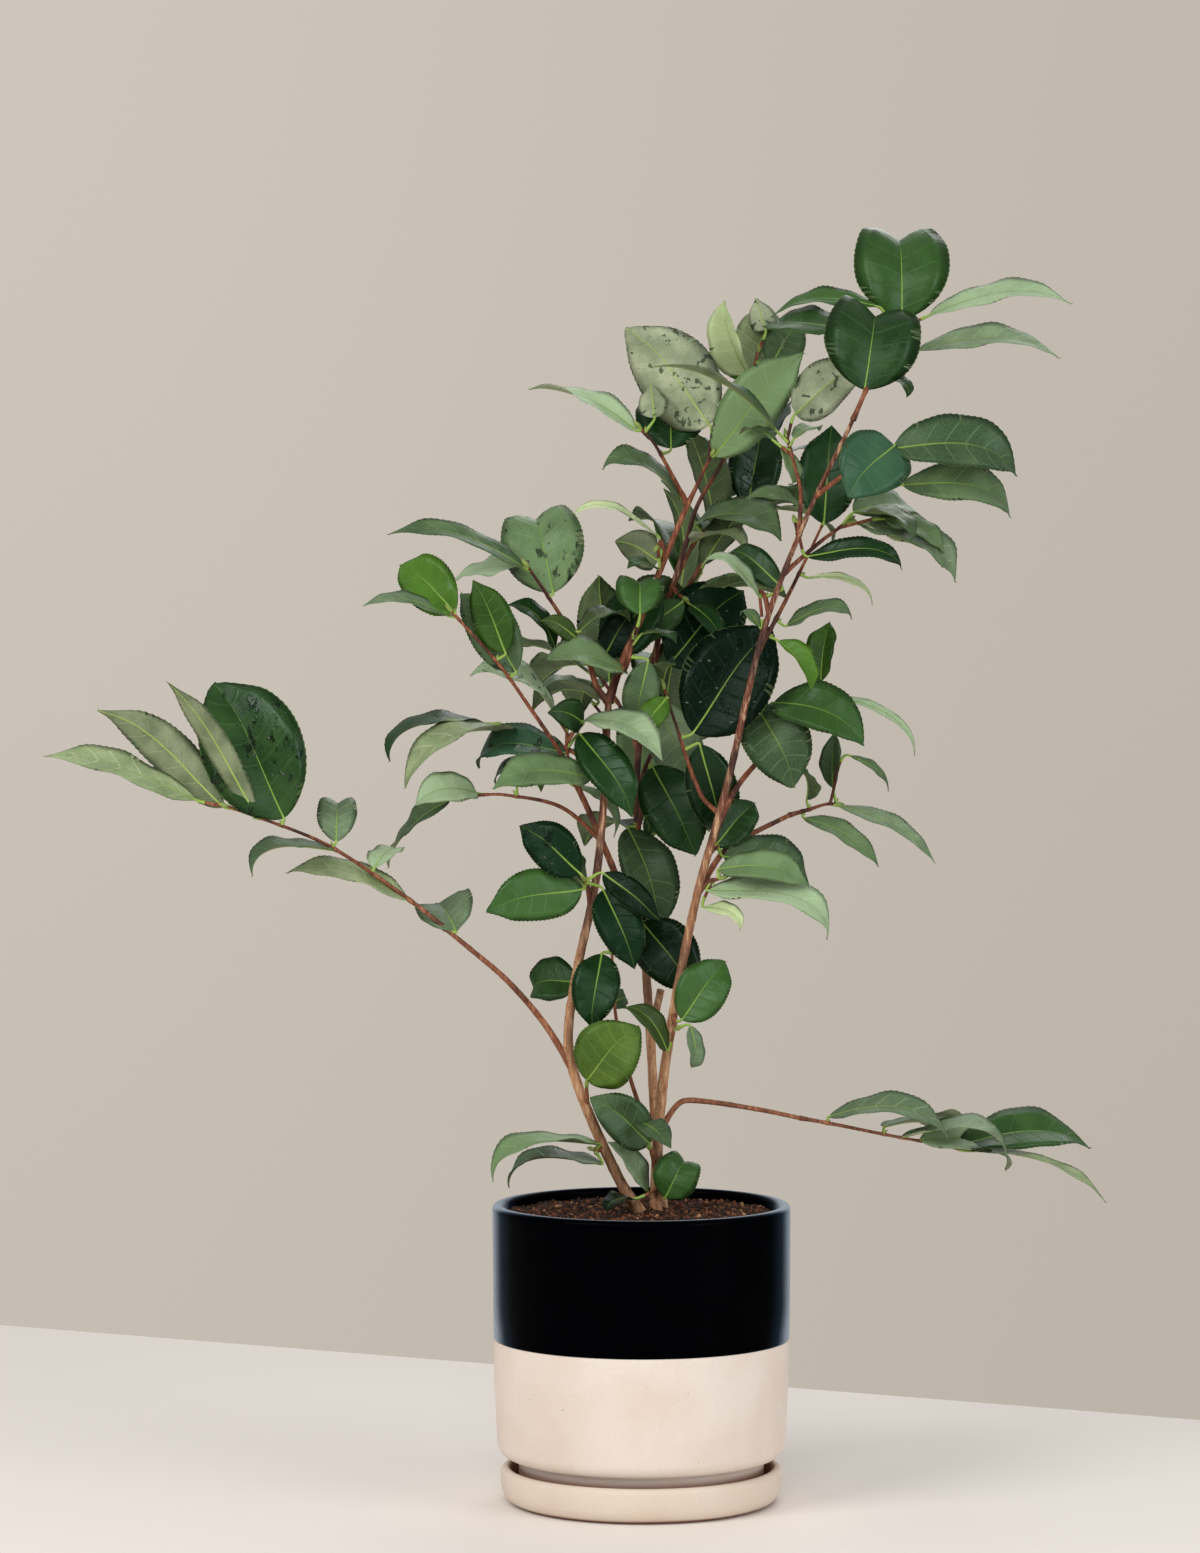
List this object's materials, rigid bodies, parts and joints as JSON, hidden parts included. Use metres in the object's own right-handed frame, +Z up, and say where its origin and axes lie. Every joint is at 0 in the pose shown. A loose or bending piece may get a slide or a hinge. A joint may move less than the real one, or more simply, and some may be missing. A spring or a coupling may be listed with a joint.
{
  "type": "potted shrub",
  "caption": "Young camellia shrub with several woody stems and glossy evergreen leaves, in a round dipped ceramic pot that stands in its saucer.",
  "frame": {"origin": "centre of the saucer's underside, on the floor", "axes": "+Z up, -Y towards the plant's front, +X to the viewer's right"},
  "size_m": [0.635, 0.3193, 0.7726],
  "materials": {
    "clay": "matte unglazed ceramic",
    "glaze": "glossy dark glaze",
    "earth": "moist potting soil",
    "bark": "young mottled bark",
    "leaf": "leathery glossy leaves"
  },
  "bodies": {
    "root": {"bough_leader": "bark", "bough_left_fork": "bark", "bough_left_low": "bark", "bough_left_mid": "bark", "bough_right_low": "bark", "bough_right_mid": "bark", "bough_right_out": "bark", "foliage_back_big": "leaf", "foliage_back_high_leaves": "leaf", "foliage_back_low_leaf": "leaf", "foliage_back_spur": "leaf", "foliage_back_upper": "leaf", "foliage_crown_back": "leaf", "foliage_crown_left": "leaf", "foliage_crown_mid": "leaf", "foliage_crown_right": "leaf", "foliage_foot_left": "leaf", "foliage_foot_mid": "leaf", "foliage_foot_right": "leaf", "foliage_fork_left": "leaf", "foliage_inner_right": "leaf", "foliage_inner_twig": "leaf", "foliage_leader_behind": "leaf", "foliage_leader_front": "leaf", "foliage_leader_spur": "leaf", "foliage_left_bud": "leaf", "foliage_left_bud_low": "leaf", "foliage_left_glossy": "leaf", "foliage_left_knot_leaf": "leaf", "foliage_left_low": "leaf", "foliage_left_low_leaf": "leaf", "foliage_left_mid": "leaf", "foliage_left_shelf": "leaf", "foliage_left_thin": "leaf", "foliage_left_up": "leaf", "foliage_rear_high": "leaf", "foliage_rear_left": "leaf", "foliage_rear_low": "leaf", "foliage_rear_mid": "leaf", "foliage_rear_top": "leaf", "foliage_right_crest_spur": "leaf", "foliage_right_fan": "leaf", "foliage_right_fork_spur": "leaf", "foliage_right_high_spur": "leaf", "foliage_right_hooks": "leaf", "foliage_right_inner": "leaf", "foliage_right_low": "leaf", "foliage_right_low_spur": "leaf", "foliage_right_mid": "leaf", "foliage_right_mid_spur": "leaf", "foliage_right_out": "leaf", "foliage_right_upper": "leaf", "pot": "clay", "pot_glaze": "glaze", "saucer": "clay", "soil": "earth", "stem_back": "bark", "stem_left": "bark", "stem_right": "bark"}
  },
  "joints": []
}
